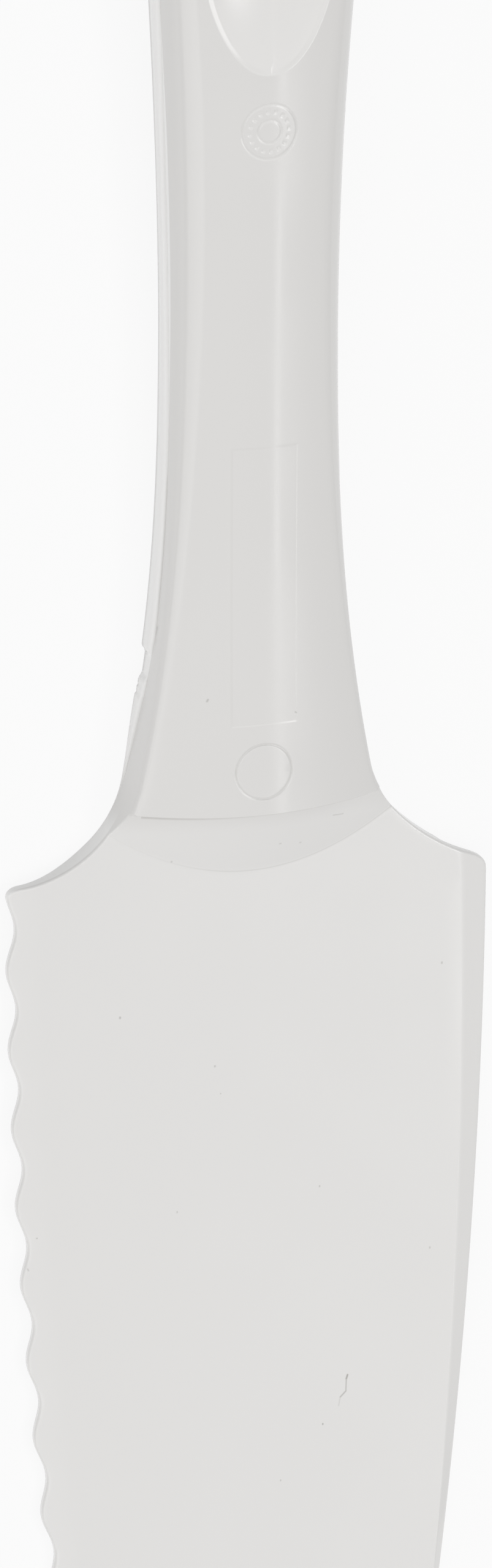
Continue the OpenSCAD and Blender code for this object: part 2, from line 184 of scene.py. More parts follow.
class NeckSizes(bpy.types.PropertyGroup):
    """Sizes of the shoulders and the neck, in millimetres."""

    left: length("Left shoulder", "From the step to the left shoulder's outer end", 8.5)
    right: length("Right shoulder", "From the step to the right shoulder's outer end", 10.1)
    left_corner: length("Left corner", "Radius of the left corner", 1.5)
    right_corner: length("Right corner", "Radius of the right corner", 2.3)
    left_fall: number("Left fall", "Slope of the left shoulder at its end, seen from above", 0.1)
    right_fall: number("Right fall", "Slope of the right shoulder at its end, seen from above", 0.4)
    width: length("Width", "Where the shoulders begin", 28.2)
    begins: length("Start", "From the step to where the shoulders begin", 3.6)
    rise: length("Rise", "Height of the handle's face above the blade's face", 6.3)
    step: length("Step", "Height of the step where the handle's face ends", 1.1)
    step_run: length("Step run", "How far the step's face leans", 0.4)
    step_end: length("Step ends", "Where the step's ends meet the sides", 0.6)
    step_bow: length("Step bow", "How far the step bows towards the blade", 0.4)
    slope_side: length("Slope side", "From the step to the ends of the slope's foot", 2.9)
    slope_middle: length("Slope middle", "From the step to the middle of the slope's foot", 9.1)
    rim_width: length("Rim width", "Width up to which the rim keeps its height", 38.0)


class HandleSizes(bpy.types.PropertyGroup):
    """Sizes of the handle, in millimetres."""

    reach: length("Length", "From the step to the handle's end", 131.0)
    waist: length("Waist", "Width at the waist", 19.7)
    waist_at: length("Waist place", "From the step to the waist", 57.0)
    grip: length("Grip", "Where the handle is widest, near its end", 25.1)
    grip_at: length("Grip place", "From the step to that widest place", 118.0)
    depth: length("Depth", "Depth at the neck, from the face to the rim", 9.5)
    rim_rise: length("Rim rise", "How much higher the rim is at the end than at the neck", 3.2)
    arch: length("Arch", "Fall of the face at the waist, to its sides", 2.1)
    bend: length("Bend radius", "Radius of the handle's upward bend", 1100.0, 300.0, 4000.0)
    bend_at: length("Bend place", "From the step to where that bend starts", 20.0)
    neck_edge: length("Neck edge", "Radius of the face's edges at the neck", 0.6)
    grip_edge: length("Grip edge", "Radius of the face's edges where they are softest", 3.2)
    softest_at: length("Softest place", "From the step to that softest stretch", 82.0)
    end_edge: length("End edge", "Radius of the face's edges at the handle's end", 2.2)
    wall: length("Wall", "Thickness of the walls", 1.6)
    chamfer: length("Inner corner", "Size of the hollow's inner corner", 0.9)
    bead: length("Bead", "How far the bead along the rim stands out", 0.5)
    bead_height: length("Bead height", "Height of the bead", 3.1)
    draft: length("Draft", "How far the side walls lean out below the face", 0.1)
    dish_at: length("Dish place", "From the step to the middle of the dish", 106.5)
    dish_length: length("Dish length", "Length of the dish", 36.0)
    dish_width: length("Dish width", "Width of the dish", 16.6)
    dish_depth: length("Dish depth", "Depth of the dish", 2.0)
    dish_lip: length("Dish lip", "Width of the small bevel along the dish's lip", 0.6)
    lip_slope: number("Lip slope", "How much steeper that bevel is than the bowl behind it", 0.2)
    dish_wall: number("Dish wall", "Steepness of the bowl at its lip: 1 for an even bowl", 0.45)
    hole: length("Hole radius", "Radius of the hanging hole", 3.5)
    hole_at: length("Hole place", "From the step to the middle of the hanging hole", 114.5)
    gate_at: length("Gate", "From the step to the trimmed gap in the left bead", 17.1)
    gate_gap: length("Gate gap", "Length of that gap", 2.7)
    gate_stub: length("Gate stub", "Length of the rough stub beside that gap", 2.6)


class MarkSizes(bpy.types.PropertyGroup):
    """Sizes of the shallow marks on the handle's face, in millimetres."""

    ring_at: length("Ring place", "From the step to the ring mark's middle", 5.27)
    ring: length("Ring radius", "Radius of the ring mark", 3.35)
    label_at: length("Label place", "From the step to the bare label's middle", 27.75)
    label_length: length("Label length", "Length of the bare label", 33.5)
    label_width: length("Label width", "Width of the bare label", 7.76)
    round_at: length("Round place", "From the step to the round mark's middle", 82.0)
    round: length("Round radius", "Radius of the round mark", 3.2)
    line: length("Line width", "Width of a moulded line", 0.25)
    depth: length("Depth", "Depth of the moulded lines", 0.08)
    recess: length("Recess", "Depth of the bare label", 0.02)


class Finish(bpy.types.PropertyGroup):
    """Colour and surface of the plastic."""

    plastic: colour("Plastic", "Colour of the white plastic", (0.8, 0.79, 0.775))
    # Painted glow: the paler colour that stands in for light coming through the rim's bead and the blade
    painted_glow: colour("Thin places", "Colour of thin places, where light comes through", (0.97, 0.965, 0.955))
    # Colour of the painted shade in the moulded lines, and of the small dark specks
    shade_and_speck: colour("Specks", "Colour of the dirt and of the small dark specks", (0.3, 0.28, 0.25))
    gloss: number("Gloss", "Roughness where the surface is smoothest", 0.13)
    dull: number("Dull", "Roughness where the surface is dullest", 0.19)
    grain: number("Grain", "Height of the moulded grain", 0.02)
    # How dark the painted shade in the moulded lines is
    shade_and_specks: number("Line shade", "How much dirt has settled in the moulded lines", 0.32)
    # Share of the painted glow that the blade gets, against the rim's bead
    blade_glow: number("Thin blade", "How much light the blade lets through, against the rim's bead", 0.27)


class StageSizes(bpy.types.PropertyGroup):
    """Table, lights and camera."""

    table: number("Table", "Width of the table", 4.0, 20.0, "LENGTH")
    table_colour: colour("Table colour", "Colour of the table", (0.7, 0.7, 0.7))
    ambient: number("Ambient", "Strength of the even light all round", 0.45)
    ceiling: number("Ceiling", "Brightness of the wide soft lamp above", 1.7, 20.0)
    side: number("Side", "Brightness of the soft lamp on the left", 0.95, 20.0)
    low_side: number("Low side", "Brightness of the low soft lamp on the left", 0.67, 20.0)
    strip: number("Strip", "Brightness of the narrow lamp on the right", 3.0, 20.0)
    window: number("Window", "Brightness of the small bright lamp on the right", 5.5, 20.0)
    distance: number("Distance", "From the camera to the spatula", 0.9233, 20.0, "LENGTH")
    lens: number("Lens", "Focal length for the sensor's long side", 182.3, 1000.0, "CAMERA")


def mix(a, b, t):
    """The value a share t of the way from a to b."""
    return a + (b - a) * t


def clamp(t):
    """t held between 0 and 1."""
    return min(1.0, max(0.0, t))


def ease(t):
    """A smooth rise from 0 to 1."""
    t = clamp(t)
    return t * t * (3.0 - 2.0 * t)


def cubic(curve, t):
    """A point of a Bezier curve with four control points."""
    s = 1.0 - t
    return curve[0] * s ** 3 + curve[1] * 3 * s * s * t + curve[2] * 3 * s * t * t + curve[3] * t ** 3


def crossing(curve, y):
    """Where a curve that runs down in Y crosses the given Y."""
    low, high = 0.0, 1.0
    for _ in range(24):
        middle = (low + high) / 2
        if cubic(curve, middle).y > y:
            low = middle
        else:
            high = middle
    return low


class CrossLine(NamedTuple):
    """One cross-line of the moulding: its two outline points and its heights."""

    left: Vector
    right: Vector
    bow: float
    middle: float
    fall: float
    blade: float


# Small specks and scratches on the drawing: from, to, half width and darkness
SPECKS = (
    ((-15.7, -25.7), (-15.7, -25.8), 0.2, 0.5),
    ((-4.1, -33.2), (-4.1, -33.3), 0.18, 0.4),
    ((-3.4, -36.8), (-3.4, -36.8), 0.16, 0.35),
    ((24.0, -23.4), (24.0, -23.5), 0.2, 0.4),
    ((8.9, -50.1), (8.9, -50.2), 0.16, 0.4),
    ((-26.0, -52.5), (-26.0, -52.5), 0.18, 0.4),
    ((-27.1, -56.4), (-27.0, -56.6), 0.16, 0.3),
    ((-8.8, -51.2), (-8.8, -51.3), 0.16, 0.35),
    ((22.8, -59.8), (22.8, -59.9), 0.18, 0.35),
    ((12.5, -75.1), (12.35, -75.6), 0.19, 0.75),
    ((12.35, -75.6), (12.3, -77.2), 0.14, 0.5),
    ((12.3, -77.2), (11.6, -77.9), 0.17, 0.5),
    ((11.6, -77.9), (11.4, -79.0), 0.14, 0.2),
    ((9.4, -81.1), (9.4, -81.2), 0.15, 0.7),
    ((4.1, -87.8), (4.1, -87.9), 0.15, 0.35),
    ((-6.7, 14.3), (-6.6, 14.5), 0.2, 0.4),
    ((3.9, 12.0), (3.8, 12.1), 0.18, 0.4),
    ((9.5, -2.3), (10.8, -2.4), 0.16, 0.25),
    ((3.2, -5.4), (3.3, -5.4), 0.2, 0.25),
    ((5.8, -5.7), (5.9, -5.7), 0.2, 0.25),
    ((-9.4, -6.9), (-9.4, -7.0), 0.2, 0.3),
)


class Drawing:
    """The moulding as drawn: X across, Y towards the handle's end from the step, Z up from the blade."""

    def __init__(self, scene):
        self.blade = scene.spatula_blade
        self.neck = scene.spatula_neck
        self.handle = scene.spatula_handle
        self.marks = scene.spatula_marks
        self.side_top = -(self.neck.left + self.neck.left_corner)
        self.side_foot = -(self.blade.reach - self.blade.tip)
        crests = math.floor((-self.side_foot - self.blade.first_crest - TIP_ROOM) / self.blade.pitch)
        self.last_crest = self.blade.first_crest + crests * self.blade.pitch
        self.lines = self.blade_lines() + self.neck_lines() + self.handle_lines()

    def half_blade(self, y):
        """Half the blade's width."""
        return self.blade.width / 2 - min(0.0, y - self.side_top) ** 2 / (2 * self.blade.side_radius)

    def wave(self, y):
        """0 at a crest and 1 in the middle of a scallop."""
        if y < -self.last_crest or y > -self.blade.first_crest:
            return 0.0
        return (1 - math.cos(2 * math.pi * (y + self.blade.first_crest) / self.blade.pitch)) / 2

    def half_handle(self, y):
        """Half the handle's width."""
        handle, neck = self.handle, self.neck
        if y < handle.waist_at:
            share = (handle.waist_at - y) / (handle.waist_at - neck.begins)
            return mix(handle.waist / 2, neck.width / 2, share ** NECK_CURVE)
        share = (y - handle.waist_at) / (handle.grip_at - handle.waist_at)
        return mix(handle.waist / 2, handle.grip / 2, share ** GRIP_CURVE)

    def face(self, y):
        """Height of the handle's face along its middle."""
        handle = self.handle
        return self.neck.rise + max(0.0, y - handle.bend_at) ** 2 / (2 * handle.bend)

    def edge(self, y):
        """Radius of the edges of the handle's face, or of the blade's edges."""
        handle = self.handle
        if y < self.neck.step_end:
            return self.blade.edge
        if y < handle.softest_at:
            return mix(handle.neck_edge, handle.grip_edge, ease(y / handle.softest_at))
        share = (y - handle.softest_at) / (handle.grip_at - handle.softest_at)
        return mix(handle.grip_edge, handle.end_edge, ease(share))

    def arch(self, half, widest):
        """Fall of the arched face at its sides."""
        return self.handle.arch * half * half / (self.handle.waist / 2 * widest)

    def shoulder(self, drop, corner, fall, pulls):
        """Curve of one shoulder, and of the corner at its end."""
        neck, handle = self.neck, self.handle
        slope = (neck.width - handle.waist) / 2 * NECK_CURVE / (handle.waist_at - neck.begins)
        start = Vector((neck.width / 2, neck.begins))
        end = Vector((self.half_blade(-drop) - corner, -drop))
        along = Vector((1.0, -fall)).normalized()
        last = Vector((self.half_blade(-drop - corner), -drop - corner))
        curve = (start, start + pulls[0] * Vector((slope, -1.0)).normalized(), end - pulls[1] * along, end)
        rounded = (end, end + corner * ROUND_PULL * along, last + Vector((0.0, corner * ROUND_PULL)), last)
        return curve, rounded

    def blade_line(self, left, right, bow):
        """A cross-line of the blade, with the scallops cut back on its left."""
        cut = Vector((left.x - self.blade.scallop * self.wave(left.y), left.y))
        return CrossLine(cut, right, bow, 0.0, 0.0, 1.0)

    def handle_line(self, left, right, bow):
        """A cross-line of the handle."""
        y = (left.y + right.y) / 2
        widest = self.handle.grip / 2 if y > self.handle.grip_at else left.x
        return CrossLine(left, right, bow, self.face(y), self.arch(left.x, widest), 0.0)

    def blade_bow(self, y):
        """How far a cross-line of the blade bows towards the tip."""
        neck = self.neck
        return (neck.slope_middle - neck.slope_side) * (1 - ease((-y - neck.slope_side) / BOW_RUN))

    def blade_lines(self):
        """Cross-lines of the tip and of the blade's two long sides."""
        blade, neck = self.blade, self.neck
        foot = Vector((self.half_blade(self.side_foot), self.side_foot))
        slope = -min(0.0, self.side_foot - self.side_top) / blade.side_radius
        tip = (
            Vector((POLE, -blade.reach)),
            Vector((foot.x * ROUND_PULL, -blade.reach)),
            foot - blade.tip * ROUND_PULL * Vector((-slope, 1.0)),
            foot,
        )
        points = [cubic(tip, i / TIP_LINES) for i in range(TIP_LINES)]
        lines = [self.blade_line(p, p, 0.0) for p in points]
        crests = round((self.last_crest - blade.first_crest) / blade.pitch)
        places = [mix(self.side_foot, -self.last_crest, i / PLAIN_LINES) for i in range(PLAIN_LINES)]
        places += [-self.last_crest + blade.pitch * i / CREST_LINES for i in range(crests * CREST_LINES)]
        right_top = -(neck.right + neck.right_corner)
        for y in places:
            if y < self.side_top - CORNER_ROOM:
                share = (y - self.side_foot) / (self.side_top - self.side_foot)
                far = mix(self.side_foot, right_top, share)
                left, right = Vector((self.half_blade(y), y)), Vector((self.half_blade(far), far))
                lines.append(self.blade_line(left, right, self.blade_bow(y)))
        return lines

    def neck_lines(self):
        """Cross-lines of the corners, the shoulders, the slope and the step."""
        neck = self.neck
        left, left_corner = self.shoulder(neck.left, neck.left_corner, neck.left_fall, LEFT_PULLS)
        right, right_corner = self.shoulder(neck.right, neck.right_corner, neck.right_fall, RIGHT_PULLS)

        def both(y):
            return cubic(left, crossing(left, y)), cubic(right, crossing(right, y))

        lines = []
        for i in range(CORNER_LINES):
            t = 1 - i / CORNER_LINES
            a, b = cubic(left_corner, t), cubic(right_corner, t)
            lines.append(self.blade_line(a, b, self.blade_bow(a.y)))
        left_foot, right_foot = crossing(left, -neck.slope_side), crossing(right, -neck.slope_side)
        foot = cubic(left, left_foot).x, cubic(right, right_foot).x
        self.foot_half, self.foot_middle = (foot[0] + foot[1]) / 2, (foot[1] - foot[0]) / 2
        for i in range(SHOULDER_LINES):
            t = i / SHOULDER_LINES
            a, b = cubic(left, mix(1, left_foot, t)), cubic(right, mix(1, right_foot, t))
            lines.append(CrossLine(a, b, self.blade_bow(a.y), 0.0, 0.0, 1 - t))
        top = neck.rise - neck.step
        side = top - self.arch(neck.width / 2, neck.width / 2)
        bow = neck.slope_middle - neck.slope_side
        for i in range(SLOPE_LINES + 1):
            t = i / SLOPE_LINES
            a, b = both(mix(-neck.slope_side, neck.step_end - neck.step_run, t))
            lines.append(CrossLine(a, b, mix(bow, neck.step_bow, t), top * t, (top - side) * t, 0.0))
        for i in range(NECK_LINES):
            a, b = both(mix(neck.step_end, neck.begins, i / NECK_LINES))
            lines.append(self.handle_line(a, b, neck.step_bow))
        return lines

    def handle_lines(self):
        """Cross-lines of the handle and of its round end."""
        handle, neck = self.handle, self.neck
        fine_to = handle.gate_at + SCAR_BEYOND
        places = [mix(neck.begins, fine_to, i / SCAR_LINES) for i in range(SCAR_LINES)]
        places += [mix(fine_to, handle.grip_at, i / HANDLE_LINES) for i in range(HANDLE_LINES + 1)]
        lines = []
        for y in places:
            p = Vector((self.half_handle(y), y))
            bow = neck.step_bow * (1 - ease((y - neck.begins) / handle.waist_at))
            lines.append(self.handle_line(p, p, bow))
        slope = (handle.grip - handle.waist) / 2 * GRIP_CURVE / (handle.grip_at - handle.waist_at)
        reach = (handle.reach - handle.grip_at) * ROUND_PULL
        start = Vector((handle.grip / 2, handle.grip_at))
        end = (
            start,
            start + reach * Vector((slope, 1.0)),
            Vector((handle.grip / 2 * ROUND_PULL, handle.reach)),
            Vector((POLE, handle.reach)),
        )
        for i in range(1, END_LINES + 1):
            p = cubic(end, i / END_LINES)
            lines.append(self.handle_line(p, p, 0.0))
        return lines

    def rim(self, p):
        """Height of the rim, or of the blade's underside, at an outline point."""
        neck, handle, blade = self.neck, self.handle, self.blade
        if p.y >= neck.begins:
            share = (handle.reach - p.y) / (handle.reach - neck.begins)
            return neck.rise - handle.depth + handle.rim_rise * (1 - share * share)
        if p.y < -neck.right or p.y < -neck.left:
            return -blade.thickness
        full = neck.rim_width / 2
        rise = ease((p.x - full) / (blade.width / 2 - RIM_END - full))
        return -mix(handle.depth - neck.rise, blade.thickness, rise)

    def inside_dish(self, x, y):
        """1 at the middle of the dish and 0 at its lip, and the distance in from the lip."""
        handle = self.handle
        across, along = 2 * x / handle.dish_width, 2 * (y - handle.dish_at) / handle.dish_length
        inside = 1 - across * across - along * along
        steep = 4 * math.hypot(across / handle.dish_width, along / handle.dish_length)
        return inside, inside / max(steep, 1e-6)

    def dish(self, x, y):
        """Depth of the dish at a point: a bowl behind a small bevel along the lip."""
        handle = self.handle
        inside, off = (max(0.0, value) for value in self.inside_dish(x, y))
        lip = handle.lip_slope * abs(2 * x / handle.dish_width) ** 0.5
        bowl = handle.dish_depth * inside * mix(inside, 1.0, handle.dish_wall)
        return lip * min(off, handle.dish_lip) + bowl

    def off_label(self, x, y):
        """Distance to the bare label's outline, negative inside it."""
        marks = self.marks
        return max(abs(x) - marks.label_width / 2, abs(y - marks.label_at) - marks.label_length / 2)

    def fine(self, x, y):
        """Whether a mark's edge or the dish's lip is near this point of the face."""
        marks = self.marks
        return (
            -FINE_REACH < self.inside_dish(x, y)[1] < FINE_REACH + self.handle.dish_lip
            or abs(math.hypot(x, y - marks.ring_at) - marks.ring) < FINE_REACH
            or abs(self.off_label(x, y)) < FINE_REACH
            or math.hypot(x, y - marks.round_at) < marks.round + FINE_REACH
        )

    def sunk(self, x, y):
        """How far the dish and the marks lie below the handle's face at a point."""
        marks = self.marks
        along = y - marks.round_at
        off = math.hypot(x, along)
        rings = [line_at(off - share * marks.round, marks.line) for share in (1, INNER_RING)]
        turning = ease(2 * math.sin(DOTS * math.atan2(along, x)))
        dots = line_at(off - DOT_RING * marks.round, DOT_LENGTH) * turning
        ring = line_at(math.hypot(x, y - marks.ring_at) - marks.ring, marks.line)
        label = ease(0.5 - self.off_label(x, y) / marks.line)
        lines = marks.depth * (ring + ROUND_DEPTH * max(*rings, dots))
        return self.dish(x, y) + lines + marks.recess * label

    def hollow_ground(self, x, y):
        """How far the blade's top face lies below its plane near the long sides."""
        blade = self.blade
        if x < 0:
            share = clamp(1 - (self.half_blade(y) + x) / blade.hollow)
            return mix(blade.crest_drop, blade.hollow_drop, self.wave(y)) * share * share
        return blade.bevel_drop * clamp(1 - (self.half_blade(y) - x) / self.bevel(y))

    def bevel(self, y):
        """Width of the bevel on the right long side."""
        return mix(self.blade.bevel, self.blade.bevel_tip, clamp(-(y + self.neck.right) / self.blade.taper))

    def arched(self, line, x, y):
        """Height of the top face, with the blade's long sides not yet ground."""
        middle = self.face(y) if y > self.neck.begins else line.middle
        return middle - line.fall * min(1.0, abs(x) / max(line.left.x, 1.0)) ** 2

    def top(self, line, x, y):
        """Height of the top face."""
        height = self.arched(line, x, y)
        return height - self.hollow_ground(x, y) if line.blade > 0 else height

    def arched_face(self, x, y):
        """Height of the handle's arched face, and the distance from its middle to where its edge begins."""
        half = self.half_handle(min(y, self.handle.grip_at))
        return self.face(y) - self.arch(x, half), half - self.edge(y)

    def roof(self, line, x, y):
        """Height of the underside between the walls, which comes down under the dish."""
        if line.blade == 1:
            return -self.blade.thickness
        thick = mix(self.handle.wall, self.blade.thickness, ease(line.blade))
        height = self.arched(line, x, y) - thick
        if y > self.neck.begins:
            height -= self.handle.dish_depth * max(0.0, self.inside_dish(x, y)[0])
        return height

    def inward(self, k, side):
        """Direction from the outline of one side into the moulding."""
        if k == 0:
            return Vector((0.0, 1.0))
        if k == len(self.lines) - 1:
            return Vector((0.0, -1.0))
        run = (self.lines[k + 1][side] - self.lines[k - 1][side]).normalized()
        return Vector((-run.y, run.x))

    def bead_out(self, side, y):
        """How far the bead stands out: on the left it has a gap and a roughly trimmed stub beside it."""
        handle = self.handle
        out = handle.bead * ease(y / BEAD_OUT_AT)
        if side == 0:
            half_gap = handle.gate_gap / 2
            stub = handle.gate_at - half_gap - handle.gate_stub / 2
            rough = ease((handle.gate_stub / 2 - abs(y - stub)) / SHORT_RAMP)
            out += rough * (sum(height * math.sin(pace * y) for height, pace in STUB_WAVES) - STUB_CUT)
            ramp = LONG_RAMP if y > handle.gate_at else SHORT_RAMP
            out *= 1 - ease((half_gap + ramp - abs(y - handle.gate_at)) / ramp)
        return out

    def outline(self, k, side):
        """The outline point of one side, and the direction from it into the moulding."""
        p, hand, into = self.lines[k][side], (-1, 1)[side], self.inward(k, side)
        return Vector((hand * p.x, p.y)), Vector((hand * into.x, into.y))

    def wall(self, k, side):
        """Points of one outer wall, from the rim up to where the face begins."""
        line, handle, neck = self.lines[k], self.handle, self.neck
        at, into = self.outline(k, side)
        edge, low = self.edge(at.y), self.rim(line[side])
        foot = self.top(line, at.x, at.y) - edge
        height = min(mix(LOW_BEAD, handle.bead_height, ease(at.y / BEAD_HIGH_AT)), 0.75 * (foot - low))
        ledge = low + height
        lean = handle.draft * ease((at.y + neck.slope_side) / (2 * neck.begins))
        bead = self.bead_out(side, at.y)
        out = lean + bead
        soft = min(0.18, 0.2 * height)
        groove = GROOVE * bead * ease((at.y - handle.gate_at - GROOVE_FROM) / GROOVE_RUN)
        corner, rise = 0.4 * bead, min(0.25, 0.5 * (foot - ledge))
        # Outset and height: the rim's soft edge, the bead and its upper corner, the groove, the wall
        profile = (
            (out - soft, low),
            (out - 0.3 * soft, low + 0.3 * soft),
            (out, low + soft),
            (out, mix(low, ledge, 0.82)),
            (out - 0.3 * corner, mix(low, ledge, 0.9)),
            (out - corner, mix(low, ledge, 0.95)),
            (lean, ledge),
            (lean - groove, ledge + 0.1 * rise),
            (lean - groove, ledge + 0.6 * rise),
            (lean, ledge + rise),
            (0.6 * lean, mix(ledge + rise, foot, 0.5)),
        )
        points = [(at - outset * into, z) for outset, z in profile]
        for i in range(EDGE_POINTS + 1):
            angle = math.pi / 2 * i / EDGE_POINTS
            q = at + edge * (1 - math.cos(angle)) * into
            points.append((q, self.top(line, q.x, q.y) - edge * (1 - math.sin(angle))))
        return points

    def hollow(self, k, side):
        """Points of one inner wall, from the rim up to the hollow's ceiling."""
        line, handle = self.lines[k], self.handle
        at, into = self.outline(k, side)
        low = self.rim(line[side])
        into = mix(1.0, BLADE_INSET, ease(line.blade)) * into
        corner = at + (handle.wall + handle.chamfer) * into
        ceiling = self.roof(line, corner.x, corner.y)
        under = max(low, ceiling - handle.chamfer)
        wall = handle.wall
        # Inset and height: the rim's soft inner edge, the wall and the round corner under the ceiling
        profile = [(wall - 0.4, low), (wall - 0.2, min(under, low + 0.12)), (wall, under)]
        for i in range(1, 4):
            angle = math.pi / 6 * i
            inset = wall + handle.chamfer * (1 - math.cos(angle))
            profile.append((inset, mix(under, ceiling, math.sin(angle))))
        return [(at + inset * into, z) for inset, z in profile]

    def shares(self, line):
        """Shares of the way across at which the top face has its points."""
        blade, n = self.blade, FACE_POINTS
        width = line.left.x + line.right.x
        left = min(0.2, blade.hollow / width)
        right = 1 - min(0.2, self.bevel(line.right.y) / width)
        fine = n // 4
        knots = [left * i / fine for i in range(1, fine)]
        knots += [mix(left, right, i / (n - 2 * fine + 1)) for i in range(n - 2 * fine + 2)]
        knots += [mix(right, 1, i / fine) for i in range(1, fine)]
        return [mix((i + 1) / (n + 1), knots[i], ease(line.blade)) for i in range(n)]

    def across(self, line, a, b, shares, height):
        """Points on the way across, on a bowed cross-line."""
        points = (mix(a, b, t) - Vector((0.0, line.bow * 4 * t * (1 - t))) for t in shares)
        return [(q, height(line, q.x, q.y)) for q in points]

    def section(self, k):
        """The closed ring of points of one cross-line, once around the moulding."""
        line = self.lines[k]
        left, right = self.wall(k, 0), self.wall(k, 1)
        left_in, right_in = self.hollow(k, 0), self.hollow(k, 1)
        even = [i / (ROOF_POINTS + 1) for i in range(1, ROOF_POINTS + 1)]
        top = self.across(line, left[-1][0], right[-1][0], self.shares(line), self.top)
        roof = self.across(line, right_in[-1][0], left_in[-1][0], even, self.roof)
        ring = left + top + right[::-1] + right_in + roof + left_in[::-1]
        return [Vector((q.x + self.sideways(q.y), q.y, z)) for q, z in ring]

    def sideways(self, y):
        """How far the blade, and less so the shoulders, are shifted to the right."""
        neck = self.neck
        return self.blade.offset * ease((neck.begins - y) / (neck.begins + neck.right))


def line_at(off, width):
    """1 on a line and 0 beyond its width, at a distance off its middle."""
    return ease(1.5 - 2 * abs(off) / width)


def lying():
    """The move from the drawing, in millimetres, to the frame, in metres."""
    turn = Matrix.Rotation(LIE, 4, "X")
    return Matrix.Scale(MM, 4) @ Matrix.Translation(SET_DOWN) @ turn


def set_down(point):
    """A point of the drawing, in metres in the frame."""
    return lying() @ Vector(point)


def close_run(mesh, ring):
    """Closes an end of the moulding: each point is joined to the one across from it."""
    outer = 2 * WALL_POINTS + FACE_POINTS
    for run in (ring[:outer], ring[outer:]):
        for i in range((len(run) - 1) // 2):
            corners = [run[i], run[i + 1], run[-2 - i], run[-1 - i]]
            if corners[1] == corners[2]:
                corners.pop(2)
            mesh.faces.new(corners)
    mesh.faces.new((ring[outer - 1], ring[outer], ring[-1], ring[0]))


class SPATULA_OT_moulding(bpy.types.Operator):
    """Models the blade, the neck and the hollow handle as one moulding"""

    bl_idname = "spatula.moulding"
    bl_label = "Moulding"

    def execute(self, context):
        drawing = Drawing(context.scene)
        sections = [drawing.section(k) for k in range(len(drawing.lines))]
        around = len(sections[0])
        bpy.ops.object.select_all(action="DESELECT")
        bpy.ops.mesh.primitive_grid_add(x_subdivisions=around, y_subdivisions=len(sections) - 1, size=1.0)
        moulding = context.active_object
        moulding.name = moulding.data.name = "moulding"
        columns = around + 1
        for point in moulding.data.vertices:
            row, column = divmod(point.index, columns)
            point.co = sections[row][column % around]
        mesh = bmesh.new()
        mesh.from_mesh(moulding.data)
        mesh.verts.ensure_lookup_table()
        for start in (0, len(mesh.verts) - columns):
            close_run(mesh, mesh.verts[start:start + around])
        bmesh.ops.remove_doubles(mesh, verts=mesh.verts, dist=0.0002)
        self.sink(mesh, drawing)
        mesh.transform(lying())
        bmesh.ops.recalc_face_normals(mesh, faces=mesh.faces)
        mesh.to_mesh(moulding.data)
        mesh.free()
        self.drill(drawing, moulding)
        bpy.ops.object.shade_smooth_by_angle(angle=SMOOTH_ANGLE)
        moulding.data.materials.append(white_plastic(context.scene.spatula_finish, drawing))
        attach(moulding, "root")
        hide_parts(NODE)
        return {"FINISHED"}

    def sink(self, mesh, drawing):
        """Sinks the dish and the marks into the handle's face, with a finer mesh along their edges."""
        begins = drawing.neck.step_end

        def on_face(point):
            height, half = drawing.arched_face(point.x, point.y)
            near_end = point.y > drawing.handle.grip_at and drawing.inside_dish(point.x, point.y)[0] < -0.25
            on_top = abs(point.x) < half + 0.01 and abs(point.z - height) < 0.5
            return on_top and point.y > begins and not near_end

        def near_line(cell):
            middle = cell.calc_center_median()
            return on_face(middle) and drawing.fine(middle.x, middle.y)

        edges = list(dict.fromkeys(edge for cell in mesh.faces if near_line(cell) for edge in cell.edges))
        bmesh.ops.subdivide_edges(mesh, edges=edges, cuts=FINE_CUTS, use_grid_fill=True)
        for point in mesh.verts:
            if on_face(point.co):
                if point.co.y > drawing.neck.begins:
                    point.co.z = drawing.arched_face(point.co.x, point.co.y)[0]
                point.co.z -= drawing.sunk(point.co.x, point.co.y)

    def drill(self, drawing, moulding):
        """Cuts the hanging hole through the dish's floor, square to it."""
        handle = drawing.handle
        y = handle.hole_at
        fall = 8 * handle.dish_depth * (y - handle.dish_at) / handle.dish_length ** 2
        slope = math.atan((y - handle.bend_at) / handle.bend + fall)
        bpy.ops.mesh.primitive_cylinder_add(
            vertices=HOLE_SIDES, radius=handle.hole * MM, depth=DRILL_LENGTH * MM,
            location=set_down((0.0, y, drawing.face(y) - drawing.dish(0.0, y))),
            rotation=(slope + LIE, 0.0, 0.0),
        )
        drill = bpy.context.active_object
        bpy.ops.object.select_all(action="DESELECT")
        moulding.select_set(True)
        bpy.context.view_layer.objects.active = moulding
        cut = moulding.modifiers.new("hanging hole", "BOOLEAN")
        cut.operation = "DIFFERENCE"
        cut.solver = "EXACT"
        cut.object = drill
        bpy.ops.object.modifier_apply(modifier=cut.name)
        bpy.data.objects.remove(drill)


